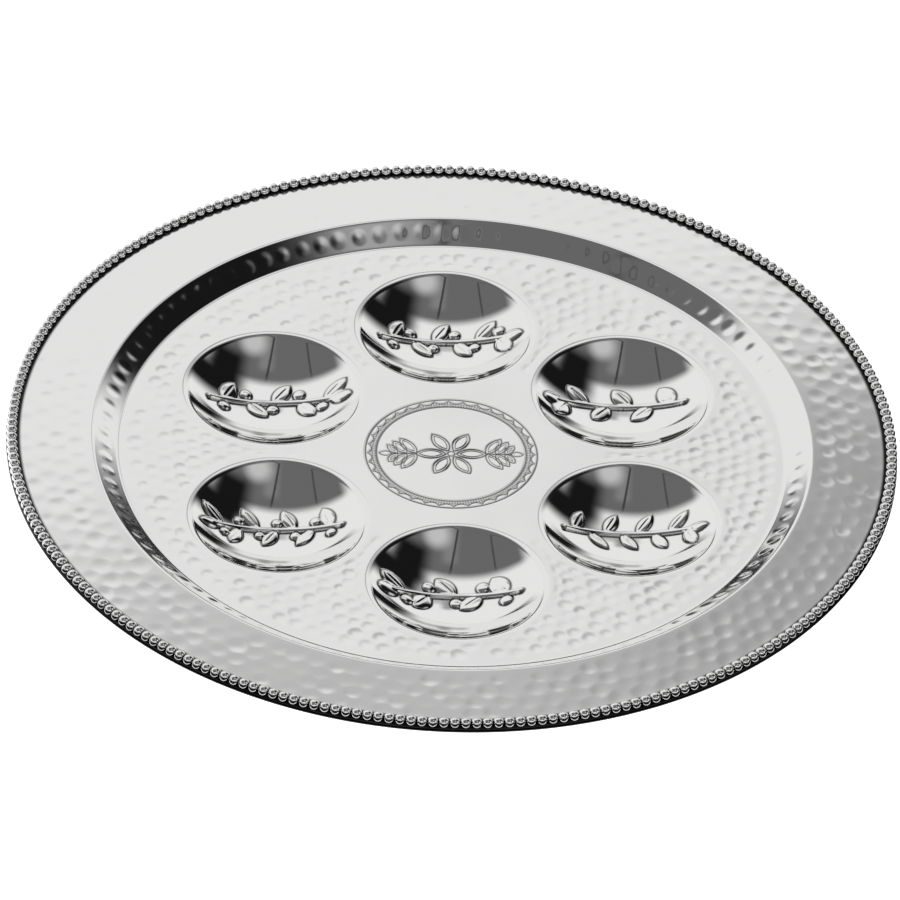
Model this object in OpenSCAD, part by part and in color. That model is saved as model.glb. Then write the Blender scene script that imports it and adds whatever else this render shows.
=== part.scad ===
// Seder plate: a round hammered tray with six dished bowls and a beaded edge.
// Millimetres, Z up. The origin is under the plate's centre, on the surface that the bowls stand on.
// The plate's front is towards -Y.

/* [Tray] */
// Thickness of the tray's sheet
sheet_t = 0.8; // [0.6:0.1:1.2]
// Radius of the flat floor of the well
well_r = 149.3; // [146:0.1:156]
// Height of the rim, where it meets the wall, above the floor of the well
well_depth = 7.4; // [5:0.2:12]
// Slope of the wall between the well and the rim, in degrees
wall_slope = 34; // [26:1:50]
// Rounding at the foot of the wall, on the upper face
wall_foot_round = 2.5; // [1:0.5:5]
// Rounding at the top of the wall, on the upper face
wall_top_round = 2.5; // [1.5:0.5:5]
// Width of the rim, from the rounding of the wall to the middle of the rolled edge
rim_w = 36.5; // [30:0.1:45]
// Fall of the rim from the wall out to the rolled edge, in degrees
rim_fall = 2.5; // [0:0.5:6]

/* [Rolled edge] */
// Diameter of the wire inside the rolled edge
wire_d = 1.6; // [1.2:0.1:3]
// Gap between the wire and the sheet rolled round it
wire_gap = 0.05; // [0.02:0.01:0.2]
// How far round the wire the sheet is rolled, in degrees
roll_angle = 265; // [200:5:290]

/* [Beaded border] */
// Diameter of a bead
bead_d = 5; // [4:0.1:6]
// How far two neighbouring beads run into each other
bead_merge = 0.15; // [0.1:0.01:0.4]
// Height of a bead's middle above the rim's face
bead_lift = 0.95; // [0.2:0.05:1.5]
// From the outermost edge of the tray in to the middle of the beads
bead_inset = 2.6; // [2.4:0.1:5]

/* [Bowls] */
// Radius of the circle on which the middles of the bowls lie
bowl_ring_r = 90.7; // [88:0.5:98]
// Radius of a bowl's mouth, where the floor of the well starts to turn down
bowl_r = 41.4; // [34:0.2:43]
// Depth of a bowl below the floor of the well
bowl_depth = 15.2; // [11:0.2:18]
// Thickness of a bowl's sheet
bowl_t = 0.8; // [0.6:0.1:1.2]
// Rounding of the turned-down edge round a bowl's mouth
lip_round = 5; // [1.5:0.5:8]
// How far the flat foot is pressed into the underside of a bowl
foot_press = 0.3; // [0.1:0.05:0.4]

/* [Raised ornament] */
// Height of the ornament above the inside of a bowl
relief_h = 1.5; // [0.6:0.1:2]
// Length of a sprig along its stem
sprig_l = 58; // [44:1:60]
// Radius of the curve of the stem
stem_curve_r = 110; // [60:1:200]
// Width of the stem
stem_w = 3.4; // [1.6:0.1:4]
// Length of a leaf
leaf_l = 13; // [8:0.5:14]
// Distance from the middle of a bowl to the middle of the sprig, towards the back
sprig_shift = 7; // [2:0.5:9]

/* [Engraved middle] */
// Radius of the outer engraved circle
outer_circle_r = 38.6; // [36:0.2:42]
// Radius of the inner engraved circle
inner_circle_r = 33.6; // [28:0.2:34]
// Width of an engraved line
line_w = 0.5; // [0.3:0.1:0.8]
// Depth of the engraving
engraving_depth = 0.15; // [0.1:0.05:0.3]
// Number of dots between the two circles
dot_count = 36; // [24:1:48]
// Radius of a dot between the two circles
dot_r = 1; // [0.5:0.1:1.5]
// Length of a petal of the rosette
petal_l = 14; // [9:0.5:18]
// Width of a petal of the rosette
petal_w = 5; // [3:0.2:7]

/* [Hidden] */
$fn = 96;

// A bowl's mouth turns down through lip_angle and then runs on as part of a sphere.
lip_angle = 2 * atan(bowl_depth / bowl_r);
bowl_sphere_r = bowl_r / sin(lip_angle) - lip_round;
bowl_seam_r = bowl_sphere_r * sin(lip_angle);
bowl_bottom_z = bowl_t - foot_press;
bowl_centre_z = bowl_bottom_z + bowl_sphere_r;
floor_z = bowl_bottom_z + bowl_depth;
rim_z = floor_z + well_depth;

// The wall is a cone between two roundings.
wall_rounds = wall_foot_round + wall_top_round;
wall_l = (well_depth - wall_rounds * (1 - cos(wall_slope))) / sin(wall_slope);
rim_start_r = well_r + wall_rounds * sin(wall_slope) + wall_l * cos(wall_slope);

// The rim's face, from the end of the wall's rounding out to the rolled edge, where it turns down round the wire
rim_out = [cos(rim_fall), -sin(rim_fall)];
rim_up = [sin(rim_fall), cos(rim_fall)];
wall_top_middle = [rim_start_r, rim_z - wall_top_round];
rim_face_start = wall_top_middle + wall_top_round * rim_up;
roll_inner_r = wire_d / 2 + wire_gap;
roll_outer_r = roll_inner_r + sheet_t;
roll_middle = rim_face_start + rim_w * rim_out - roll_outer_r * rim_up;
tray_r = roll_middle[0] + roll_outer_r;

// The beads
bead_ring_r = tray_r - bead_inset;
bead_foot_z = rim_face_start[1] - (bead_ring_r - rim_face_start[0]) * tan(rim_fall);
bead_count = ceil(180 / asin((bead_d - bead_merge) / (2 * bead_ring_r)));

// Degrees between one bowl and the next, and the overlap with which a turned-down edge joins the floor
bowl_step = 60;
lip_overlap = 1;

// The raised ornament ends at least this far inside the seam between a bowl and the tray.
ornament_edge = 1;

// Sprigs: number of leaves, width of a leaf, its angle to the stem, radius of a berry, 1 or -1 for the way it grows
sprigs = [
    [6, 7.4, 52, 2.4, 1],
    [6, 8.4, 48, 0, -1],
    [8, 6.2, 56, 0, 1],
    [5, 9.0, 46, 2.8, -1],
    [7, 6.8, 58, 2.2, -1],
    [5, 7.8, 50, 2.6, 1]
];

// The engraved rosette
petal_count = 6;
rosette_eye_r = 1.6;

// Points on an arc, as [radius, height] pairs
function arc(middle, r, from, to, steps = 6) =
    [for (i = [0:steps]) middle + r * [cos(from + (to - from) * i / steps), sin(from + (to - from) * i / steps)]];

// Radius of the two circles that meet in a leaf of length l and width w
function leaf_arc_r(l, w) = (l * l / 4 + w * w / 4) / w;

// A pointed leaf from the origin along +X
module leaf(l, w) {
    r = leaf_arc_r(l, w);
    intersection() {
        translate([l / 2, r - w / 2]) circle(r = r);
        translate([l / 2, w / 2 - r]) circle(r = r);
    }
}

// Cross-section of the tray's sheet, from the middle out to the end of the rolled edge
module tray_section() {
    foot = [well_r, floor_z + wall_foot_round];
    roll_start = 90 - rim_fall;
    roll_end = roll_start - roll_angle;
    upper = concat(
        [[0, floor_z]],
        arc(foot, wall_foot_round, -90, wall_slope - 90),
        arc(wall_top_middle, wall_top_round, 90 + wall_slope, roll_start),
        arc(roll_middle, roll_outer_r, roll_start, roll_end, 16)
    );
    under = concat(
        arc(roll_middle, roll_inner_r, roll_end, roll_start, 16),
        arc(wall_top_middle, wall_top_round - sheet_t, roll_start, 90 + wall_slope),
        arc(foot, wall_foot_round + sheet_t, wall_slope - 90, -90),
        [[0, floor_z - sheet_t]]
    );
    polygon(concat(upper, under));
}

// Cross-section of the turned-down edge round a bowl's mouth
module lip_section() {
    middle = [bowl_r, floor_z - lip_round];
    outer_r = bowl_r + lip_overlap;
    polygon(concat(
        [[outer_r, floor_z]],
        arc(middle, lip_round, 90, 90 + lip_angle, 8),
        arc(middle, lip_round - sheet_t, 90 + lip_angle, 90, 8),
        [[outer_r, floor_z - sheet_t]]
    ));
}

// Puts its children at each bowl's place
module at_bowl(i) {
    angle = 90 - i * bowl_step;
    translate([bowl_ring_r * cos(angle), bowl_ring_r * sin(angle), 0]) children();
}

// An engraved circle, seen from above, with its outside at radius r
module engraved_circle(r) {
    difference() {
        circle(r = r);
        circle(r = r - line_w);
    }
}

// The engraving seen from above: two circles with a ring of dots between them, round a rosette
module engraving() {
    dot_ring_r = (outer_circle_r + inner_circle_r) / 2;
    engraved_circle(outer_circle_r);
    engraved_circle(inner_circle_r);
    for (i = [0:dot_count - 1])
        rotate(i * 360 / dot_count) translate([dot_ring_r, 0]) circle(r = dot_r);
    for (i = [0:petal_count - 1])
        rotate(i * 360 / petal_count) translate([rosette_eye_r, 0]) leaf(petal_l, petal_w);
}

// The hammered sheet: rim, wall and well, with a turned-down edge round each opening
module tray() {
    color("silver") difference() {
        union() {
            difference() {
                rotate_extrude() tray_section();
                for (i = [0:5])
                    at_bowl(i) cylinder(r = bowl_r + lip_overlap / 2, h = rim_z);
            }
            for (i = [0:5])
                at_bowl(i) rotate_extrude() lip_section();
        }
        translate([0, 0, floor_z - engraving_depth]) linear_extrude(well_depth) engraving();
    }
}

// A sprig seen from above, with its stem's middle on the origin
module sprig(leaf_count, leaf_w, leaf_angle, berry_r, way) {
    span = sprig_l / stem_curve_r * 180 / PI;
    mirror([way > 0 ? 0 : 1, 0, 0]) translate([0, -stem_curve_r, 0]) {
        intersection() {
            difference() {
                circle(r = stem_curve_r + stem_w / 2);
                circle(r = stem_curve_r - stem_w / 2);
            }
            polygon([
                [0, 0],
                2 * stem_curve_r * [sin(-span / 2), cos(span / 2)],
                2 * stem_curve_r * [sin(span / 2), cos(span / 2)]
            ]);
        }
        for (i = [0:leaf_count - 1]) {
            side = i % 2 == 0 ? 1 : -1;
            turn = span / 2 - (i + 0.5) * span / leaf_count;
            rotate(turn) translate([0, stem_curve_r, 0]) {
                rotate(side * leaf_angle) leaf(leaf_l, leaf_w);
                if (berry_r > 0)
                    translate([0, -side * (stem_w / 2 + berry_r), 0]) circle(r = berry_r + 0.4);
            }
        }
        rotate(-span / 2) translate([-leaf_l / 4, stem_curve_r, 0]) leaf(leaf_l * 0.8, leaf_w);
    }
}

// One dished bowl: part of a spherical shell with a flat foot, and the sprig raised from its inside
module bowl(i) {
    reach = 2 * bowl_sphere_r;
    style = sprigs[i];
    color("lightgrey") at_bowl(i) {
        translate([0, 0, bowl_centre_z]) rotate_extrude() intersection() {
            difference() {
                circle(r = bowl_sphere_r + bowl_t);
                circle(r = bowl_sphere_r);
            }
            polygon([[0, 0], reach * [sin(lip_angle), -cos(lip_angle)], [0, -reach]]);
            translate([0, -bowl_centre_z]) square([bowl_r, bowl_centre_z]);
        }
        intersection() {
            translate([0, sprig_shift, 0]) linear_extrude(floor_z)
                sprig(style[0], style[1], style[2], style[3], style[4]);
            cylinder(r = bowl_seam_r - ornament_edge, h = floor_z);
            translate([0, 0, bowl_centre_z]) difference() {
                sphere(r = bowl_sphere_r + bowl_t / 2);
                sphere(r = bowl_sphere_r - relief_h);
            }
        }
    }
}

// A bead: a ball cut flat where it stands on the rim
module bead() {
    rotate_extrude($fn = 24) intersection() {
        translate([0, bead_lift]) circle(d = bead_d, $fn = 24);
        square(bead_d);
    }
}

// The beads round the rim's edge
module beaded_border() {
    color("silver") for (i = [0:bead_count - 1])
        rotate([0, 0, i * 360 / bead_count])
            translate([bead_ring_r, 0, bead_foot_z]) rotate([0, rim_fall, 0]) bead();
}

// The wire that the edge is rolled round
module rim_wire() {
    color("grey") rotate_extrude() translate(roll_middle) circle(d = wire_d, $fn = 24);
}

tray();
bowl(0);  // bowl_back
bowl(1);  // bowl_back_right
bowl(2);  // bowl_front_right
bowl(3);  // bowl_front
bowl(4);  // bowl_front_left
bowl(5);  // bowl_back_left
beaded_border();
rim_wire();
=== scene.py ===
"""Seder plate: the hammered tray, its six dished bowls with raised sprigs, and the beaded edge.

Lengths are in millimetres until a mesh is made, and in metres from there on. The plate's front is towards -Y.
"""

import math

import bpy
import numpy as np
from mathutils import Matrix


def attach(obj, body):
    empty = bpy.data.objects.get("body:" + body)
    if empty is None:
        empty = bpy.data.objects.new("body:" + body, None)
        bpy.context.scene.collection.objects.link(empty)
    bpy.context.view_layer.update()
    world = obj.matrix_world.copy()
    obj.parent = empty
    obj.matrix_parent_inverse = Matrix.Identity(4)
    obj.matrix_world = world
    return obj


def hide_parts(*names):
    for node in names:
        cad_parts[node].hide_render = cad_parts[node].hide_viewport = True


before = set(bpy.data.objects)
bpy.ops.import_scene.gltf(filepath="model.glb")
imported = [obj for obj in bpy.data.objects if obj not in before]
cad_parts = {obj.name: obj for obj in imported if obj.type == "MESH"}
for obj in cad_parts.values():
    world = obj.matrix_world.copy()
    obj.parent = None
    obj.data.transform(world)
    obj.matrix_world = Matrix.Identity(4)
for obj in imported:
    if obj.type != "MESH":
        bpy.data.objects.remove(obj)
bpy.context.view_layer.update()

MM = 0.001

# ---- the plate's sizes, as in the CAD source ----
SHEET_T = 0.8
WELL_R = 149.3
WELL_DEPTH = 7.4
WALL_SLOPE = math.radians(34)
WALL_FOOT_ROUND = 2.5
WALL_TOP_ROUND = 2.5
RIM_W = 36.5
RIM_FALL = math.radians(2.5)
WIRE_D = 1.6
WIRE_GAP = 0.05
ROLL_ANGLE = math.radians(265)

BEAD_D = 5.0
BEAD_MERGE = 0.15
BEAD_LIFT = 0.95
BEAD_INSET = 2.6

BOWL_COUNT = 6
BOWL_RING_R = 90.7
BOWL_R = 41.4
BOWL_DEPTH = 15.2
BOWL_T = 0.8
LIP_ROUND = 5.0
FOOT_PRESS = 0.3

RELIEF_H = 1.5
SPRIG_L = 58.0
STEM_CURVE_R = 110.0
STEM_W = 3.4
LEAF_L = 13.0
SPRIG_SHIFT = 7.0

OUTER_CIRCLE_R = 38.6
INNER_CIRCLE_R = 33.6

# ---- sizes that follow from them ----
LIP_ANGLE = 2 * math.atan(BOWL_DEPTH / BOWL_R)
BOWL_SPHERE_R = BOWL_R / math.sin(LIP_ANGLE) - LIP_ROUND
BOWL_BOTTOM_Z = BOWL_T - FOOT_PRESS
BOWL_CENTRE_Z = BOWL_BOTTOM_Z + BOWL_SPHERE_R
SEAM_R = BOWL_SPHERE_R * math.sin(LIP_ANGLE)
FLOOR_Z = BOWL_BOTTOM_Z + BOWL_DEPTH
RIM_Z = FLOOR_Z + WELL_DEPTH
WALL_ROUNDS = WALL_FOOT_ROUND + WALL_TOP_ROUND
WALL_L = (WELL_DEPTH - WALL_ROUNDS * (1 - math.cos(WALL_SLOPE))) / math.sin(WALL_SLOPE)
RIM_START_R = WELL_R + WALL_ROUNDS * math.sin(WALL_SLOPE) + WALL_L * math.cos(WALL_SLOPE)
WALL_TOP_Z = RIM_Z - WALL_TOP_ROUND
RIM_FACE_R = RIM_START_R + WALL_TOP_ROUND * math.sin(RIM_FALL)
RIM_FACE_Z = WALL_TOP_Z + WALL_TOP_ROUND * math.cos(RIM_FALL)
RIM_END_R = RIM_FACE_R + RIM_W * math.cos(RIM_FALL)
RIM_END_Z = RIM_FACE_Z - RIM_W * math.sin(RIM_FALL)
ROLL_R = WIRE_D / 2 + WIRE_GAP + SHEET_T
ROLL_MIDDLE_R = RIM_END_R - ROLL_R * math.sin(RIM_FALL)
ROLL_MIDDLE_Z = RIM_END_Z - ROLL_R * math.cos(RIM_FALL)
TRAY_R = ROLL_MIDDLE_R + ROLL_R
BEAD_RING_R = TRAY_R - BEAD_INSET
BEAD_FOOT_Z = RIM_FACE_Z - (BEAD_RING_R - RIM_FACE_R) * math.tan(RIM_FALL)
BEAD_COUNT = math.ceil(math.pi / math.asin((BEAD_D - BEAD_MERGE) / (2 * BEAD_RING_R)))
# The rim gets painted shade round the beads' feet, from this far in front of the beads outwards
BEAD_SHADE_REACH = 1.3
BEAD_SHADE_SOFT = 0.5
BEAD_SHADE_R = BEAD_RING_R - BEAD_D / 2 - BEAD_SHADE_REACH

BOWL_NODES = [
    "bowl_back",
    "bowl_back_right",
    "bowl_front_right",
    "bowl_front",
    "bowl_front_left",
    "bowl_back_left",
]
# Number of leaves, width of a leaf, its angle to the stem, radius of a berry, 1 or -1 for the way it grows
SPRIGS = [
    (6, 7.4, 52, 2.4, 1),
    (6, 8.4, 48, 0, -1),
    (8, 6.2, 56, 0, 1),
    (5, 9.0, 46, 2.8, -1),
    (7, 6.8, 58, 2.2, -1),
    (5, 7.8, 50, 2.6, 1),
]


def bowl_middle(i):
    angle = math.radians(90 - i * 360 / BOWL_COUNT)
    return BOWL_RING_R * math.cos(angle), BOWL_RING_R * math.sin(angle)


def smoothstep(low, high, value):
    t = np.clip((value - low) / (high - low), 0, 1)
    return t * t * (3 - 2 * t)


# ---- hammer marks ----
MARKS_ROUND = 104
# Rings of marks: radius of the ring, radius of a mark, depth of a mark, and how unequal its marks are
WELL_RINGS = [(141.5 - 6.3 * i, 3.7, 0.06, 0.5) for i in range(12)]
WALL_RINGS = [(155.6, 3.5, 0.22, 0.15)]
RIM_RINGS = [(168.6 + 7.4 * i, 4.8, 0.06, 0.5) for i in range(4)]
# Seeds of the marks on the well, and on the wall and rim
WELL_SEED = 11
RIM_SEED = 29
# Spread of a mark's place along its ring, in pitches, and of its radius, both at full unevenness
MARK_TURN_SPREAD = 0.22
MARK_SIZE_SPREAD = 0.24
# Least and greatest depth of a mark as a share of its ring's, and the power of its profile
MARK_DEPTH_RANGE = (0.1, 2.0)
MARK_POWER = 1.5
# Half width of the band that a ring's marks may reach, in mark radii
MARK_BAND = 1.7
# The well's marks fade out towards the bowls' lips, and towards the engraved middle
MARKS_OFF_LIP = (1.0, 5.0)
MARKS_OFF_MIDDLE = (60, 74)


def hammer_marks(x, y, rings, seed):
    """How far the hammered face lies below the plain one at (x, y)."""
    rng = np.random.default_rng(seed)
    r = np.hypot(x, y)
    angle = np.arctan2(y, x)
    step = 2 * math.pi / MARKS_ROUND
    depth = np.zeros_like(r)
    for i, (ring_r, mark_r, mark_depth, uneven) in enumerate(rings):
        shift_r = rng.normal(0, uneven, MARKS_ROUND)
        shift_a = rng.normal(0, MARK_TURN_SPREAD * uneven, MARKS_ROUND) * step
        size = mark_r * (1 + rng.normal(0, MARK_SIZE_SPREAD * uneven, MARKS_ROUND))
        deep = mark_depth * np.clip(1 + rng.normal(0, uneven, MARKS_ROUND), *MARK_DEPTH_RANGE)
        near = np.abs(r - ring_r) < mark_r * MARK_BAND
        a = angle[near] / step - (i % 2) / 2
        k = np.round(a).astype(int)
        for side in (-1, 0, 1):
            n = (k + side) % MARKS_ROUND
            off_a = (a - (k + side)) * step - shift_a[n]
            off_a = off_a * ring_r
            off_r = r[near] - ring_r - shift_r[n]
            q = (off_a**2 + off_r**2) / size[n] ** 2
            dip = deep[n] * np.where(q < 1, (1 - q) ** MARK_POWER, 0)
            depth[near] = np.maximum(depth[near], dip)
    return depth


# ---- the engraved middle ----
ENGRAVED_W = 0.65
ENGRAVED_DEPTH = 0.26
SCALLOPS = 36
# How low a scallop hangs in the border at its ends, how much lower in its middle, as shares of the
# border's width, and the power of its curve
SCALLOP_END = 0.16
SCALLOP_HANG = 0.40
SCALLOP_POWER = 2.2
# Stippling: waves per scallop, pitch across the border, depth as a share, and its distance from the
# scallops
STIPPLE_WAVES = 2.5
STIPPLE_PITCH = 1.2
STIPPLE_SHARE = 0.95
STIPPLE_CLEAR = 0.3
# Petals and leaves have an outline this far in from their edge, and a second one further in
LINE_IN = 0.1
SECOND_LINE_IN = 1.3
# Rosette: where a petal starts, its length and width, the half width of its second line, and the eye's
# radius
PETALS = 6
PETAL_START = 2.2
PETAL_L = 14.0
PETAL_W = 6.6
PETAL_SECOND_W = 0.35
EYE_R = 1.6
# Sprays: ends of the stem, half widths of the stem's, the leaves' and the leaves' second lines, the
# leaves' angle to the stem, start, length and width of each pair of leaves, and of the leaf at the tip
STEM_ENDS = (17, 27.5)
STEM_LINE_W = 0.5
LEAF_LINE_W = 0.55
LEAF_SECOND_W = 0.3
SPRAY_ANGLE = math.radians(56)
SPRAY_LEAVES = [(15.5, 13.0, 5.4), (20.0, 10.5, 4.8), (24.2, 7.5, 3.8)]
TIP_LEAF = (26.5, 6.0, 3.2)


def groove(distance, width=ENGRAVED_W):
    """Depth of a V-shaped groove at a distance from its middle line, as a share of its full depth."""
    return np.clip(1 - np.abs(distance) / width, 0, 1)


def leaf_inside(x, y, length, width):
    """Distance in from the edge of a pointed leaf that runs from the origin along +X, negative outside it."""
    r = (length * length / 4 + width * width / 4) / width
    up = r - np.hypot(x - length / 2, y - (r - width / 2))
    down = r - np.hypot(x - length / 2, y - (width / 2 - r))
    return np.minimum(up, down)


def turned(x, y, angle):
    """(x, y) in axes turned by the angle."""
    c, s = math.cos(angle), math.sin(angle)
    return x * c + y * s, y * c - x * s


def engraving(x, y):
    """Depth of the engraved middle at (x, y), as a share of its full depth."""
    r = np.hypot(x, y)
    angle = np.arctan2(y, x)
    cut = np.maximum(groove(r - OUTER_CIRCLE_R), groove(r - INNER_CIRCLE_R))
    # scallops: arcs that hang from the outer circle towards the inner one
    share = (angle * SCALLOPS / (2 * math.pi)) % 1 - 0.5
    band = OUTER_CIRCLE_R - INNER_CIRCLE_R
    curve = 1 - (2 * np.abs(share)) ** SCALLOP_POWER
    hang = OUTER_CIRCLE_R - band * (SCALLOP_END + SCALLOP_HANG * curve)
    inside = (r < OUTER_CIRCLE_R) & (r > INNER_CIRCLE_R)
    cut = np.maximum(cut, np.where(inside, groove(r - hang), 0))
    # stippling between the scallops and the inner circle
    waves_round = np.abs(np.sin(angle * SCALLOPS * STIPPLE_WAVES))
    waves_across = np.abs(np.sin((r - INNER_CIRCLE_R) * math.pi / STIPPLE_PITCH))
    dots = waves_round * waves_across
    cut = np.maximum(cut, np.where(inside & (r < hang - STIPPLE_CLEAR), STIPPLE_SHARE * dots, 0))
    # rosette: a double outline round each petal, and an eye
    for i in range(PETALS):
        u, v = turned(x, y, 2 * math.pi * i / PETALS)
        edge = leaf_inside(u - PETAL_START, v, PETAL_L, PETAL_W)
        cut = np.maximum(cut, groove(edge - LINE_IN))
        cut = np.maximum(cut, np.where(edge > 0, groove(edge - SECOND_LINE_IN, PETAL_SECOND_W), 0))
    cut = np.maximum(cut, groove(r - EYE_R))
    # a spray on each side: a stem and pairs of leaves
    for side in (1, -1):
        u = x * side
        stem = np.where((u > STEM_ENDS[0]) & (u < STEM_ENDS[1]), groove(y, STEM_LINE_W), 0)
        cut = np.maximum(cut, stem)
        for at, length, width in SPRAY_LEAVES:
            for way in (1, -1):
                a, b = turned(u - at, y, SPRAY_ANGLE * way)
                edge = leaf_inside(a, b, length, width)
                cut = np.maximum(cut, groove(edge - LINE_IN, LEAF_LINE_W))
                cut = np.maximum(cut, np.where(edge > 0, groove(edge - SECOND_LINE_IN, LEAF_SECOND_W), 0))
        at, length, width = TIP_LEAF
        cut = np.maximum(cut, groove(leaf_inside(u - at, y, length, width) - LINE_IN, LEAF_LINE_W))
    return cut


# ---- mesh helpers ----
# Name of the mesh attribute that holds how much painted shade the metal gets, from 0 to 1
PAINTED_SHADE_NAME = "painted_shade_layer"
# Points that fall in the same cell of this grid are joined, in cells per millimetre
WELD_CELLS = 2000
# Edges sharper than this stay sharp
SHARP_ANGLE = math.radians(60)


def grid_faces(rows, columns, closed):
    """Quads of a grid whose points are numbered row by row.

    A closed grid joins its last column to its first.
    """
    r = np.arange(rows - 1)[:, None]
    c = np.arange(columns if closed else columns - 1)[None, :]
    right = (c + 1) % columns
    quads = np.stack(
        [r * columns + c, r * columns + right, (r + 1) * columns + right, (r + 1) * columns + c], axis=-1
    )
    return quads.reshape(-1, 4)


def weld(points, faces, painted_shade):
    """Joins points that lie at the same place. The last argument holds one value of painted shade for each
    point.
    """
    keys = np.round(points * WELD_CELLS).astype(np.int64)
    _, first, back = np.unique(keys, axis=0, return_index=True, return_inverse=True)
    return points[first], back.reshape(-1)[faces], painted_shade[first]


def vertex_normals(points, faces):
    a, b, c, d = (points[faces[:, i]] for i in range(4))
    normal = np.cross(c - a, d - b)
    total = np.zeros_like(points)
    for axis in range(3):
        for corner in range(4):
            total[:, axis] += np.bincount(faces[:, corner], normal[:, axis], len(points))
    return total / np.maximum(np.linalg.norm(total, axis=1, keepdims=True), 1e-12)


def boundary_edges(faces):
    """Directed edges that only one face has."""
    start = faces.reshape(-1)
    end = np.roll(faces, -1, axis=1).reshape(-1)
    keep = start != end
    start, end = start[keep], end[keep]
    size = int(faces.max()) + 1
    there = start.astype(np.int64) * size + end
    back = end.astype(np.int64) * size + start
    lone = ~np.isin(there, back)
    return start[lone], end[lone]


def thicken(points, faces, thickness):
    """Gives a sheet a second face under the first, and closes its edges."""
    under = points - vertex_normals(points, faces) * thickness
    under[:, 2] = np.maximum(under[:, 2], 0)
    n = len(points)
    start, end = boundary_edges(faces)
    edge = np.stack([end, start, start + n, end + n], axis=-1)
    return np.concatenate([points, under]), np.concatenate([faces, faces[:, ::-1] + n, edge])


def add_mesh(name, points, faces, painted_shade):
    """A Blender object from points in millimetres.

    Its faces have up to four corners, and the last argument is the painted shade at each point.
    """
    mesh = bpy.data.meshes.new(name)
    corners = [list(dict.fromkeys(f)) for f in faces.tolist()]
    mesh.from_pydata((points * MM).tolist(), [], [f for f in corners if len(f) > 2])
    mesh.validate()
    mesh.shade_smooth()
    mesh.set_sharp_from_angle(angle=SHARP_ANGLE)
    layer = mesh.attributes.new(PAINTED_SHADE_NAME, "FLOAT", "POINT")
    layer.data.foreach_set("value", np.resize(painted_shade, len(points)).astype(np.float32))
    obj = bpy.data.objects.new(name, mesh)
    bpy.context.scene.collection.objects.link(obj)
    return obj


# ---- the tray ----
ARC_STEPS = 170
SIDE_STEPS = 84
MIDDLE_STEPS = 100
MIDDLE_R = 41.0
PATCH_R = 146.0
LIP_LEVELS = 18
PATCH_LEVELS = 38
MIDDLE_RINGS = 136
# The fine mesh of a lip ends this far outside it
LIP_MARGIN = 0.3
# Steps across the well's edge, a rounding of the wall, the wall, the rim and the rolled edge
EDGE_STEPS = 4
ROUND_STEPS = 8
WALL_STEPS = 18
RIM_STEPS = 60
ROLL_STEPS = 26


def floor_face(x, y):
    """Height of the tray's upper face over the well, with its lips, hammer marks and engraving, and the
    painted shade in the engraved lines.
    """
    z = np.full_like(x, FLOOR_Z)
    clear = np.full_like(x, 1e3)
    for i in range(BOWL_COUNT):
        cx, cy = bowl_middle(i)
        d = np.hypot(x - cx, y - cy)
        clear = np.minimum(clear, d - BOWL_R)
        lip = d < BOWL_R
        z[lip] = FLOOR_Z - LIP_ROUND + np.sqrt(LIP_ROUND**2 - (BOWL_R - d[lip]) ** 2)
    r = np.hypot(x, y)
    marks = hammer_marks(x, y, WELL_RINGS, WELL_SEED)
    marks *= smoothstep(*MARKS_OFF_LIP, clear) * smoothstep(*MARKS_OFF_MIDDLE, r)
    middle = r < MIDDLE_R
    cut = np.zeros_like(x)
    cut[middle] = engraving(x[middle], y[middle])
    # The engraving's depth share is also returned as painted shade in its grooves
    return z - marks - ENGRAVED_DEPTH * cut, cut


def bowl_patch():
    """Points in plan of the floor's sixth round one bowl, level by level outwards. The bowl lies on +X."""
    half = math.pi / BOWL_COUNT
    arc = np.linspace(-half, half, ARC_STEPS, endpoint=False)
    outer = np.stack([PATCH_R * np.cos(arc), PATCH_R * np.sin(arc)], axis=1)
    down = np.linspace(PATCH_R, MIDDLE_R, SIDE_STEPS, endpoint=False)
    left = np.stack([down * math.cos(half), down * math.sin(half)], axis=1)
    back = np.linspace(half, -half, MIDDLE_STEPS, endpoint=False)
    inner = np.stack([MIDDLE_R * np.cos(back), MIDDLE_R * np.sin(back)], axis=1)
    up = np.linspace(PATCH_R, MIDDLE_R, SIDE_STEPS + 1)[:0:-1]
    right = np.stack([up * math.cos(half), -up * math.sin(half)], axis=1)
    edge = np.concatenate([outer, left, inner, right]) - [BOWL_RING_R, 0]
    reach = np.hypot(edge[:, 0], edge[:, 1])
    ray = edge / reach[:, None]
    lip_end = BOWL_R + LIP_MARGIN
    lip = np.linspace(SEAM_R, lip_end, LIP_LEVELS)[:-1]
    levels = [np.full_like(reach, level) for level in lip]
    levels += [lip_end + (reach - lip_end) * t for t in np.linspace(0, 1, PATCH_LEVELS)]
    points = np.stack([ray * level[:, None] for level in levels])
    return points.reshape(-1, 2) + [BOWL_RING_R, 0], len(levels), len(edge)


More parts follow.
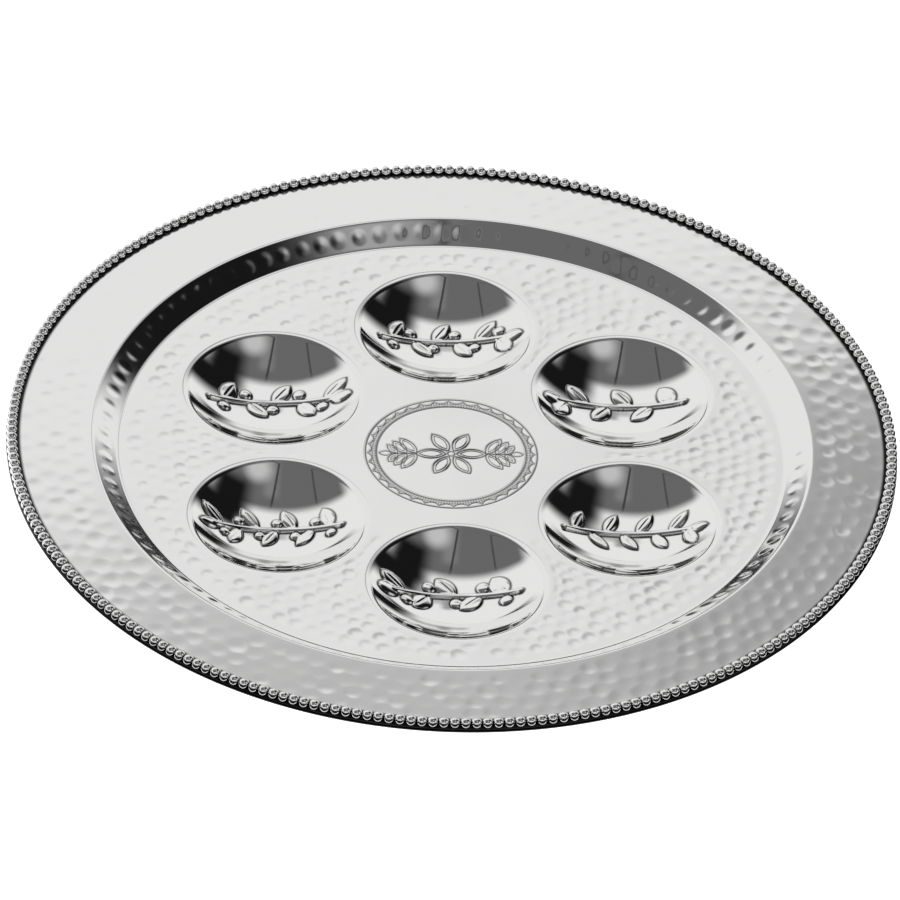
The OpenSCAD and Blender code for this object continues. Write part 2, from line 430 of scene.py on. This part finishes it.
def section():
    """Stations across the wall, the rim and the rolled edge: radius, height and the upper face's normal."""
    rows = []

    def arc(cr, cz, radius, start, end, steps, outward):
        for i in range(1, steps + 1):
            a = start + (end - start) * i / steps
            c, s = math.cos(a), math.sin(a)
            rows.append((cr + radius * c, cz + radius * s, outward * c, outward * s))

    def line(r1, z1, steps):
        r0, z0, nr, nz = rows[-1]
        for i in range(1, steps + 1):
            t = i / steps
            rows.append((r0 + (r1 - r0) * t, z0 + (z1 - z0) * t, nr, nz))

    quarter = math.pi / 2
    rows.append((PATCH_R, FLOOR_Z, 0.0, 1.0))
    line(WELL_R, FLOOR_Z, EDGE_STEPS)
    foot_z = FLOOR_Z + WALL_FOOT_ROUND
    arc(WELL_R, foot_z, WALL_FOOT_ROUND, -quarter, WALL_SLOPE - quarter, ROUND_STEPS, -1)
    top = quarter + WALL_SLOPE
    rim = quarter - RIM_FALL
    wall_end_r = RIM_START_R + WALL_TOP_ROUND * math.cos(top)
    wall_end_z = WALL_TOP_Z + WALL_TOP_ROUND * math.sin(top)
    line(wall_end_r, wall_end_z, WALL_STEPS)
    arc(RIM_START_R, WALL_TOP_Z, WALL_TOP_ROUND, top, rim, ROUND_STEPS, 1)
    line(RIM_END_R, RIM_END_Z, RIM_STEPS)
    rim_rows = len(rows)
    arc(ROLL_MIDDLE_R, ROLL_MIDDLE_Z, ROLL_R, rim, rim - ROLL_ANGLE, ROLL_STEPS, 1)
    return np.array(rows), rim_rows


def tray_points():
    sixth = 2 * math.pi / BOWL_COUNT
    points, faces, painted_shade, count = [], [], [], 0

    def keep(new_points, new_faces, new_painted_shade):
        nonlocal count
        points.append(new_points)
        faces.append(new_faces + count)
        painted_shade.append(new_painted_shade)
        count += len(new_points)

    plan, levels, around = bowl_patch()
    patch_faces = grid_faces(levels, around, closed=True)[:, ::-1]
    for i in range(BOWL_COUNT):
        a = math.radians(90 - i * 360 / BOWL_COUNT)
        c, s = math.cos(a), math.sin(a)
        x = plan[:, 0] * c - plan[:, 1] * s
        y = plan[:, 0] * s + plan[:, 1] * c
        z, cut = floor_face(x, y)
        keep(np.stack([x, y, z], axis=1), patch_faces, cut)

    # the engraved middle
    angles = np.arange(MIDDLE_STEPS * BOWL_COUNT) * sixth / MIDDLE_STEPS
    radii = np.linspace(0, MIDDLE_R, MIDDLE_RINGS)
    x = (radii[:, None] * np.cos(angles)).reshape(-1)
    y = (radii[:, None] * np.sin(angles)).reshape(-1)
    z, cut = floor_face(x, y)
    middle = np.stack([x, y, z], axis=1)
    keep(middle, grid_faces(MIDDLE_RINGS, len(angles), closed=True)[:, ::-1], cut)

    # wall, rim and rolled edge
    angles = np.arange(ARC_STEPS * BOWL_COUNT) * sixth / ARC_STEPS
    rows, rim_rows = section()
    r, z, nr, nz = (rows[:, i][:, None] + 0 * angles[None, :] for i in range(4))
    cos, sin = np.cos(angles)[None, :], np.sin(angles)[None, :]
    dip = np.zeros_like(r)
    upper = np.arange(len(rows)) < rim_rows
    plain_x, plain_y = (r * cos)[upper], (r * sin)[upper]
    dip[upper] = hammer_marks(plain_x, plain_y, WALL_RINGS + RIM_RINGS, RIM_SEED)
    well = rows[:, 0] < WELL_R
    dip[well] = 0
    r = r - nr * dip
    z = z - nz * dip
    wall = np.stack([r * cos, r * sin, z], axis=-1).reshape(-1, 3)
    # Painted shade on the rim round the beads' feet
    shade_start = BEAD_SHADE_R - BEAD_SHADE_SOFT
    shade_end = BEAD_SHADE_R + BEAD_SHADE_SOFT
    shade = smoothstep(shade_start, shade_end, np.hypot(wall[:, 0], wall[:, 1]))
    keep(wall, grid_faces(len(rows), len(angles), closed=True)[:, ::-1], shade)
    return weld(np.concatenate(points), np.concatenate(faces), np.concatenate(painted_shade))


def make_tray(material):
    points, faces, painted_shade = tray_points()
    points, faces = thicken(points, faces, SHEET_T)
    obj = add_mesh("tray_sheet", points, faces, np.concatenate([painted_shade, 0 * painted_shade]))
    obj.data.materials.append(material)
    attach(obj, "root")
    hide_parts("tray")


# ---- the bowls ----
BOWL_RINGS = 110
BOWL_STEPS = 360
# Half width of the painted shade line round the raised ornament
OUTLINE_W = 0.45
# Powers of a raised form's profile, and of the smooth union of two forms
PILLOW_POWER = 1.1
UNION_POWER = 5
# A leaf's vein: its depth as a share of the relief, its half width, where it starts and is full, and
# where it fades out, measured back from the leaf's tip
VEIN_SHARE = 0.3
VEIN_W = 0.5
VEIN_START = (1.0, 3.0)
VEIN_END = (1, 4)
# How far a berry's form reaches past its radius, and the leaf at a sprig's tip: how far it starts behind
# the stem's end and how long it is, as parts of a leaf
BERRY_MARGIN = 0.4
TIP_BACK = 4
TIP_LENGTH = 0.8


def pillow(inside, half_width):
    """Height of a rounded form at a distance in from its edge, as a share of its full height."""
    t = np.clip(inside / half_width, 0, 1)
    return np.sqrt(np.maximum(1 - (1 - t) ** 2, 0)) ** PILLOW_POWER


def sprig_relief(x, y, leaf_count, leaf_w, leaf_angle, berry_r, way):
    """Height of a sprig at (x, y), and the painted shade along its outline. The middle of its stem is on the
    origin.
    """
    x = x * way
    cy = -STEM_CURVE_R
    span = SPRIG_L / STEM_CURVE_R
    height = np.zeros_like(x)
    inside = np.full_like(x, -1e3)

    def raise_to(depth_in, half_width, vein=0):
        nonlocal height, inside
        new = np.maximum(pillow(depth_in, half_width) - vein, 0)
        height = (height**UNION_POWER + new**UNION_POWER) ** (1 / UNION_POWER)
        inside = np.maximum(inside, depth_in)

    polar_a = np.arctan2(x, y - cy)
    along = np.clip(polar_a, -span / 2, span / 2)
    from_stem = np.hypot(x - STEM_CURVE_R * np.sin(along), y - cy - STEM_CURVE_R * np.cos(along))
    raise_to(STEM_W / 2 - from_stem, STEM_W / 2)
    for i in range(leaf_count):
        side = 1 if i % 2 == 0 else -1
        turn = span / 2 - (i + 0.5) * span / leaf_count
        u, v = turned(x, y - cy, turn)
        v = v - STEM_CURVE_R
        a, b = turned(u, v, side * math.radians(leaf_angle))
        vein = VEIN_SHARE * np.exp(-((b / VEIN_W) ** 2)) * smoothstep(*VEIN_START, a)
        vein = vein * smoothstep(LEAF_L - VEIN_END[0], LEAF_L - VEIN_END[1], a)
        raise_to(leaf_inside(a, b, LEAF_L, leaf_w), leaf_w / 2, vein)
        if berry_r > 0:
            from_berry = np.hypot(u, v + side * (STEM_W / 2 + berry_r))
            raise_to(berry_r + BERRY_MARGIN - from_berry, berry_r)
    u, v = turned(x, y - cy, -span / 2)
    tip = leaf_inside(u + LEAF_L / TIP_BACK, v - STEM_CURVE_R, LEAF_L * TIP_LENGTH, leaf_w)
    raise_to(tip, leaf_w / 2)
    # Painted shade: a dark line along the edge where the raised form meets the bowl
    return height, np.exp(-((inside / OUTLINE_W) ** 2))


def make_bowl(i, material):
    cx, cy = bowl_middle(i)
    slope = np.linspace(0, LIP_ANGLE, BOWL_RINGS)[:, None]
    around = np.arange(BOWL_STEPS)[None, :] * 2 * math.pi / BOWL_STEPS
    out_x = np.sin(slope) * np.cos(around)
    out_y = np.sin(slope) * np.sin(around)
    out_z = -np.cos(slope) + 0 * around
    lx, ly = BOWL_SPHERE_R * out_x, BOWL_SPHERE_R * out_y
    relief, painted_shade = sprig_relief(lx, ly - SPRIG_SHIFT, *SPRIGS[i])
    radius = BOWL_SPHERE_R - RELIEF_H * relief
    points = np.stack([cx + radius * out_x, cy + radius * out_y, BOWL_CENTRE_Z + radius * out_z], axis=-1)
    faces = grid_faces(BOWL_RINGS, BOWL_STEPS, closed=True)[:, ::-1]
    points, faces, painted_shade = weld(points.reshape(-1, 3), faces, painted_shade.reshape(-1))
    points, faces = thicken(points, faces, BOWL_T)
    obj = add_mesh(BOWL_NODES[i] + "_cup", points, faces, np.concatenate([painted_shade, 0 * painted_shade]))
    obj.data.materials.append(material)
    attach(obj, "root")
    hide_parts(BOWL_NODES[i])


# ---- the beads ----
BEAD_RINGS = 11
BEAD_STEPS = 24
# Height above the rim up to which a bead gets painted shade, and the distance from its middle at which the
# painted shade of its neighbour starts and is full
BEAD_FOOT_SHADE = 0.9
BEAD_GAP_SHADE = (1.9, 2.4)


def make_beads(material):
    radius = BEAD_D / 2
    lowest = -math.asin(BEAD_LIFT / radius)
    lift = np.linspace(math.pi / 2, lowest, BEAD_RINGS)[:, None]
    around = np.arange(BEAD_STEPS)[None, :] * 2 * math.pi / BEAD_STEPS
    bead = np.stack(
        [
            radius * np.cos(lift) * np.cos(around),
            radius * np.cos(lift) * np.sin(around),
            BEAD_LIFT + radius * np.sin(lift) + 0 * around,
        ],
        axis=-1,
    ).reshape(-1, 3)
    base = np.array([[0.0, 0.0, 0.0]])
    bead = np.concatenate([bead, base])
    faces = grid_faces(BEAD_RINGS, BEAD_STEPS, closed=True)[:, ::-1]
    last = (BEAD_RINGS - 1) * BEAD_STEPS
    ring = np.arange(BEAD_STEPS)
    hub = np.full(BEAD_STEPS, len(bead) - 1)
    floor = np.stack([last + ring, last + (ring + 1) % BEAD_STEPS, hub, hub], axis=-1)
    faces = np.concatenate([faces, floor])
    # Painted shade: darker at each bead's foot and towards its neighbours
    painted_shade = 1 - smoothstep(0.0, BEAD_FOOT_SHADE, bead[:, 2])
    painted_shade = np.maximum(painted_shade, smoothstep(*BEAD_GAP_SHADE, np.abs(bead[:, 1])))
    bead, faces, painted_shade = weld(bead, faces, painted_shade)
    # each bead stands square to the falling rim
    out = bead[:, 0] * math.cos(RIM_FALL) + bead[:, 2] * math.sin(RIM_FALL) + BEAD_RING_R
    up = bead[:, 2] * math.cos(RIM_FALL) - bead[:, 0] * math.sin(RIM_FALL) + BEAD_FOOT_Z
    points, all_faces = [], []
    for i in range(BEAD_COUNT):
        a = 2 * math.pi * i / BEAD_COUNT
        c, s = math.cos(a), math.sin(a)
        points.append(np.stack([out * c - bead[:, 1] * s, out * s + bead[:, 1] * c, up], axis=1))
        all_faces.append(faces + i * len(bead))
    obj = add_mesh("bead_wire", np.concatenate(points), np.concatenate(all_faces), painted_shade)
    obj.data.materials.append(material)
    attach(obj, "root")
    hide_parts("beaded_border")


# ---- materials ----
# The clouds in the polish: scale, detail, and the part of the noise that is spread over the roughness
CLOUD_SCALE = 28
CLOUD_DETAIL = 5
CLOUD_RANGE = (0.3, 0.7)
# The grain's detail, and its depth in metres
GRAIN_DETAIL = 3
GRAIN_DEPTH = 0.0002
# Metals: name, colour, share of the colour that is left under full painted shade, roughness, its spread,
# scale of the grain and the grain's strength
HAMMERED = ("hammered_silver", (0.93, 0.93, 0.925), 0.03, 0.09, 0.025, 900, 0.03)
MIRROR = ("mirror_silver", (0.95, 0.95, 0.945), 0.06, 0.04, 0.012, 700, 0.01)
BEADING = ("bead_silver", (0.95, 0.95, 0.945), 0.03, 0.12, 0.03, 900, 0.03)
WIRE = ("wire_steel", (0.5, 0.5, 0.5), 1.0, 0.3, 0.05, 1500, 0.1)


def metal(name, colour, dark_share, roughness, rough_spread, grain, grain_strength):
    """A polished metal with slightly uneven polish and a faint grain, with painted shade where its mesh says
    so.
    """
    material = bpy.data.materials.new(name)
    material.use_nodes = True
    nodes = material.node_tree.nodes
    links = material.node_tree.links
    shader = nodes["Principled BSDF"]
    shader.inputs["Metallic"].default_value = 1.0
    # Painted shade: the mesh's layer mixes the colour towards its dark share
    painted_shade_layer = nodes.new("ShaderNodeAttribute")
    painted_shade_layer.attribute_name = PAINTED_SHADE_NAME
    shade = nodes.new("ShaderNodeMix")
    shade.data_type = "RGBA"
    shade.inputs["A"].default_value = (*colour, 1)
    shade.inputs["B"].default_value = (*(c * dark_share for c in colour), 1)
    links.new(painted_shade_layer.outputs["Fac"], shade.inputs["Factor"])
    links.new(shade.outputs["Result"], shader.inputs["Base Color"])
    place = nodes.new("ShaderNodeTexCoord")
    cloud = nodes.new("ShaderNodeTexNoise")
    cloud.inputs["Scale"].default_value = CLOUD_SCALE
    cloud.inputs["Detail"].default_value = CLOUD_DETAIL
    links.new(place.outputs["Object"], cloud.inputs["Vector"])
    spread = nodes.new("ShaderNodeMapRange")
    spread.inputs["From Min"].default_value = CLOUD_RANGE[0]
    spread.inputs["From Max"].default_value = CLOUD_RANGE[1]
    spread.inputs["To Min"].default_value = roughness - rough_spread
    spread.inputs["To Max"].default_value = roughness + rough_spread
    links.new(cloud.outputs["Fac"], spread.inputs["Value"])
    links.new(spread.outputs["Result"], shader.inputs["Roughness"])
    fine = nodes.new("ShaderNodeTexNoise")
    fine.inputs["Scale"].default_value = grain
    fine.inputs["Detail"].default_value = GRAIN_DETAIL
    links.new(place.outputs["Object"], fine.inputs["Vector"])
    bump = nodes.new("ShaderNodeBump")
    bump.inputs["Strength"].default_value = grain_strength
    bump.inputs["Distance"].default_value = GRAIN_DEPTH
    links.new(fine.outputs["Fac"], bump.inputs["Height"])
    links.new(bump.outputs["Normal"], shader.inputs["Normal"])
    return material


# ---- studio ----
# The studio as the plate's metal sees it, drawn on a disc with the zenith at its middle, the horizon at
# radius 1, +X to the right and +Y, behind the plate, upwards. Brightness is linear, and 1 is white.
CAMERA_YAW = math.radians(3.60)
STUDIO_BASE = 1.02
# Past the disc's edge
FAR = 9.0
# Screens and flags with straight soft edges: left, right, front and back edge, softness, brightness. The
# dark ones overhead and at the sides end short of what the flat metal mirrors in views from behind. A
# later one covers an earlier one.
SCREENS = [
    (-0.58, 0.58, -0.48, 0.17, 0.06, 0.17),
    (-0.07, 0.25, 0.41, 0.535, 0.03, 0.62),
    (0.03, 0.10, 0.41, 0.60, 0.03, 0.42),
    (0.02, 0.14, -0.50, 0.02, 0.05, 0.27),
    (0.27, FAR, 0.14, 0.52, 0.10, 0.010),
    (0.27, 0.58, -0.10, 0.34, 0.08, 0.010),
    (-0.58, 0.58, -0.56, -0.44, 0.05, 0.012),
]
# Soft round lamps and shades: middle x and y, half width, half height, softness of the edge, brightness
DISCS = [
    (0.22, -0.25, 0.12, 0.12, 0.6, 0.66),
]
# Thin dark seams between the studio's panels: x at the zenith, lean, half width, brightness. They end at
# SEAM_BACK.
SEAMS = [(0.055, 0.10, 0.005, 0.06), (-0.31, -0.05, 0.004, 0.08)]
SEAM_BACK = 0.12
SEAM_SOFT = 0.05
# Where the studio ends behind the plate there is a dark gap above the horizon
GAP_START = 0.87
GAP_FRONT = 0.5
GAP_HALF_W = 0.45
GAP_LIGHT = 0.02
# Low down, in front and at the sides, the studio is dark. From above, only steep metal mirrors it.
LOW_START = 0.88
LOW_BACK = 0.40
LOW_LIGHT = 0.02
# Softness of the gap's and the low part's upper edges, in radians, and of their other edges
HORIZON_SOFT = 0.03
SIDE_SOFT = 0.1
# Keeps the disc's scale finite at the zenith
LEAST_SIDE = 1e-4


def math_node(nodes, links, kind, a, b=None):
    """A calculation on one or two values, each a number or another node's output."""
    node = nodes.new("ShaderNodeMath")
    node.operation = kind
    for socket, value in zip(node.inputs, (a, b)):
        if value is None:
            continue
        if isinstance(value, (int, float)):
            socket.default_value = value
        else:
            links.new(value, socket)
    return node.outputs[0]


def ramp_node(nodes, links, value, low, high):
    """1 below low and 0 above high, with a soft step between them."""
    node = nodes.new("ShaderNodeMapRange")
    node.interpolation_type = "SMOOTHSTEP"
    node.inputs["From Min"].default_value = low
    node.inputs["From Max"].default_value = high
    node.inputs["To Min"].default_value = 1.0
    node.inputs["To Max"].default_value = 0.0
    links.new(value, node.inputs["Value"])
    return node.outputs["Result"]


def blend_node(nodes, links, under, value, mask):
    """under where mask is 0, and value where it is 1."""
    keep = math_node(nodes, links, "SUBTRACT", 1.0, mask)
    first = math_node(nodes, links, "MULTIPLY", under, keep)
    second = math_node(nodes, links, "MULTIPLY", mask, value)
    return math_node(nodes, links, "ADD", first, second)


def make_world():
    """The studio round the plate. The camera itself sees plain white."""
    world = bpy.data.worlds.new("studio")
    bpy.context.scene.world = world
    world.use_nodes = True
    nodes = world.node_tree.nodes
    links = world.node_tree.links
    nodes.clear()
    place = nodes.new("ShaderNodeTexCoord")
    turn = nodes.new("ShaderNodeMapping")
    turn.vector_type = "POINT"
    turn.inputs["Rotation"].default_value = (0, 0, CAMERA_YAW)
    links.new(place.outputs["Generated"], turn.inputs["Vector"])
    split = nodes.new("ShaderNodeSeparateXYZ")
    links.new(turn.outputs["Vector"], split.inputs[0])
    x, y, z = split.outputs

    def m(kind, a, b=None):
        return math_node(nodes, links, kind, a, b)

    side = m("SQRT", m("ADD", m("MULTIPLY", x, x), m("MULTIPLY", y, y)))
    from_zenith = m("ARCTAN2", side, z)
    scale = m("DIVIDE", m("DIVIDE", from_zenith, math.pi / 2), m("MAXIMUM", side, LEAST_SIDE))
    px, py = m("MULTIPLY", x, scale), m("MULTIPLY", y, scale)
    light = STUDIO_BASE

    def below(value, edge, soft):
        """1 where the value is below the edge."""
        return ramp_node(nodes, links, value, edge - soft, edge + soft)

    def above(value, edge, soft):
        return m("SUBTRACT", 1.0, below(value, edge, soft))

    for left, right, front, back, soft, value in SCREENS:
        across = m("MULTIPLY", above(px, left, soft), below(px, right, soft))
        along = m("MULTIPLY", above(py, front, soft), below(py, back, soft))
        light = blend_node(nodes, links, light, value, m("MULTIPLY", across, along))
    for cx, cy, half_w, half_h, soft, value in DISCS:
        dx = m("DIVIDE", m("SUBTRACT", px, cx), half_w)
        dy = m("DIVIDE", m("SUBTRACT", py, cy), half_h)
        away = m("SQRT", m("ADD", m("MULTIPLY", dx, dx), m("MULTIPLY", dy, dy)))
        light = blend_node(nodes, links, light, value, below(away, 1, soft))
    overhead = below(py, SEAM_BACK, SEAM_SOFT)
    for at, lean, half_w, value in SEAMS:
        off = m("ABSOLUTE", m("SUBTRACT", px, m("ADD", at, m("MULTIPLY", py, lean))))
        mask = m("MULTIPLY", below(off, half_w * 2, half_w), overhead)
        light = blend_node(nodes, links, light, value, mask)
    past_gap_start = above(from_zenith, GAP_START * math.pi / 2, HORIZON_SOFT)
    gap = m("MULTIPLY", past_gap_start, above(py, GAP_FRONT, SIDE_SOFT))
    gap = m("MULTIPLY", gap, below(m("ABSOLUTE", px), GAP_HALF_W, SIDE_SOFT))
    light = blend_node(nodes, links, light, GAP_LIGHT, gap)
    near_horizon = above(from_zenith, LOW_START * math.pi / 2, HORIZON_SOFT)
    low = m("MULTIPLY", near_horizon, below(py, LOW_BACK, SIDE_SOFT))
    light = blend_node(nodes, links, light, LOW_LIGHT, low)

    path = nodes.new("ShaderNodeLightPath")
    seen = path.outputs["Is Camera Ray"]
    strength = blend_node(nodes, links, light, 1.0, seen)
    background = nodes.new("ShaderNodeBackground")
    links.new(strength, background.inputs["Strength"])
    out = nodes.new("ShaderNodeOutputWorld")
    links.new(background.outputs[0], out.inputs["Surface"])


# Half the floor's side, its colour, and the light added to it for rays from the camera and from metal
FLOOR_HALF = 4.0
FLOOR_COLOUR = 0.8
FLOOR_LIFT = 0.86


def make_floor():
    """A pale floor that stays near white to the camera and keeps the plate's soft shadow."""
    corners = [(-FLOOR_HALF, -FLOOR_HALF, 0), (FLOOR_HALF, -FLOOR_HALF, 0)]
    corners += [(FLOOR_HALF, FLOOR_HALF, 0), (-FLOOR_HALF, FLOOR_HALF, 0)]
    mesh = bpy.data.meshes.new("floor")
    mesh.from_pydata(corners, [], [(0, 1, 2, 3)])
    floor = bpy.data.objects.new("floor", mesh)
    bpy.context.scene.collection.objects.link(floor)
    material = bpy.data.materials.new("pale_floor")
    material.use_nodes = True
    nodes = material.node_tree.nodes
    links = material.node_tree.links
    nodes.clear()
    diffuse = nodes.new("ShaderNodeBsdfDiffuse")
    diffuse.inputs["Color"].default_value = (FLOOR_COLOUR, FLOOR_COLOUR, FLOOR_COLOUR, 1)
    path = nodes.new("ShaderNodeLightPath")
    seen = math_node(nodes, links, "MAXIMUM", path.outputs["Is Camera Ray"], path.outputs["Is Glossy Ray"])
    seen = math_node(nodes, links, "MAXIMUM", seen, path.outputs["Is Transmission Ray"])
    lift = nodes.new("ShaderNodeEmission")
    links.new(math_node(nodes, links, "MULTIPLY", seen, FLOOR_LIFT), lift.inputs["Strength"])
    both = nodes.new("ShaderNodeAddShader")
    links.new(diffuse.outputs[0], both.inputs[0])
    links.new(lift.outputs[0], both.inputs[1])
    out = nodes.new("ShaderNodeOutputMaterial")
    links.new(both.outputs[0], out.inputs["Surface"])
    mesh.materials.append(material)


# A black flag that lies round the plate's front and right side: angles of its ends from +X, inner and outer
# radius, height and brightness. In metres.
FLAG_ENDS = (math.radians(-165), math.radians(25))
FLAG_RADII = (0.215, 2.5)
FLAG_HEIGHT = 0.0005
FLAG_LIGHT = 0.012
FLAG_STEPS = 96


def make_flag():
    """The flag that the front of the beads and of the rolled edge mirrors. Only glossy rays see it."""
    angles = np.linspace(*FLAG_ENDS, FLAG_STEPS)
    inner = [(FLAG_RADII[0] * math.cos(a), FLAG_RADII[0] * math.sin(a), FLAG_HEIGHT) for a in angles]
    outer = [(FLAG_RADII[1] * math.cos(a), FLAG_RADII[1] * math.sin(a), FLAG_HEIGHT) for a in angles]
    mesh = bpy.data.meshes.new("flag")
    faces = [(i, i + FLAG_STEPS, i + FLAG_STEPS + 1, i + 1) for i in range(FLAG_STEPS - 1)]
    mesh.from_pydata(inner + outer, [], faces)
    flag = bpy.data.objects.new("flag", mesh)
    bpy.context.scene.collection.objects.link(flag)
    material = bpy.data.materials.new("black_flag")
    material.use_nodes = True
    nodes = material.node_tree.nodes
    nodes.clear()
    cloth = nodes.new("ShaderNodeEmission")
    cloth.inputs["Strength"].default_value = FLAG_LIGHT
    out = nodes.new("ShaderNodeOutputMaterial")
    material.node_tree.links.new(cloth.outputs[0], out.inputs["Surface"])
    mesh.materials.append(material)
    flag.visible_camera = False
    flag.visible_diffuse = False
    flag.visible_shadow = False
    flag.visible_transmission = False


# The photograph's view, from a fit to the plate's circles. Distances in metres, the focal length and the
# place of the aimed point in the photograph in pixels
ELEVATION = math.radians(38.79)
ROLL = math.radians(-2.92)
DISTANCE = 9.0
FOCAL_PX = 20080.0
IMAGE_PX = 900
MIDDLE_PX = (451.97, 441.87)
SENSOR_MM = 36
CLIP_END = 50


def make_camera():
    """The camera at the photograph's view, aimed at the middle of the ring of beads."""
    aim = np.array([0, 0, (BEAD_FOOT_Z + BEAD_LIFT) * MM])
    back = np.array(
        [
            -math.cos(ELEVATION) * math.sin(CAMERA_YAW),
            -math.cos(ELEVATION) * math.cos(CAMERA_YAW),
            math.sin(ELEVATION),
        ]
    )
    right = np.array([math.cos(CAMERA_YAW), -math.sin(CAMERA_YAW), 0])
    up = np.cross(back, right)
    c, s = math.cos(ROLL), math.sin(ROLL)
    image_right = c * right - s * up
    image_up = s * right + c * up
    place = aim + back * DISTANCE
    data = bpy.data.cameras.new("camera")
    data.sensor_width = SENSOR_MM
    data.sensor_fit = "HORIZONTAL"
    data.lens = FOCAL_PX / IMAGE_PX * data.sensor_width
    data.shift_x = (IMAGE_PX / 2 - MIDDLE_PX[0]) / IMAGE_PX
    data.shift_y = (MIDDLE_PX[1] - IMAGE_PX / 2) / IMAGE_PX
    data.clip_end = CLIP_END
    camera = bpy.data.objects.new("camera", data)
    pose = np.eye(4)
    pose[:3] = np.stack([image_right, image_up, back, place], axis=1)
    camera.matrix_world = Matrix(pose.tolist())
    bpy.context.scene.collection.objects.link(camera)
    bpy.context.scene.camera = camera


make_camera()
make_world()
make_floor()
make_flag()
silver = metal(*HAMMERED)
mirror = metal(*MIRROR)
bead_silver = metal(*BEADING)
wire_steel = metal(*WIRE)
make_tray(silver)
for index in range(BOWL_COUNT):
    make_bowl(index, mirror)
make_beads(bead_silver)
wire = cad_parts["rim_wire"]
wire.data.materials.clear()
wire.data.materials.append(wire_steel)

bpy.context.scene.view_settings.view_transform = "Standard"
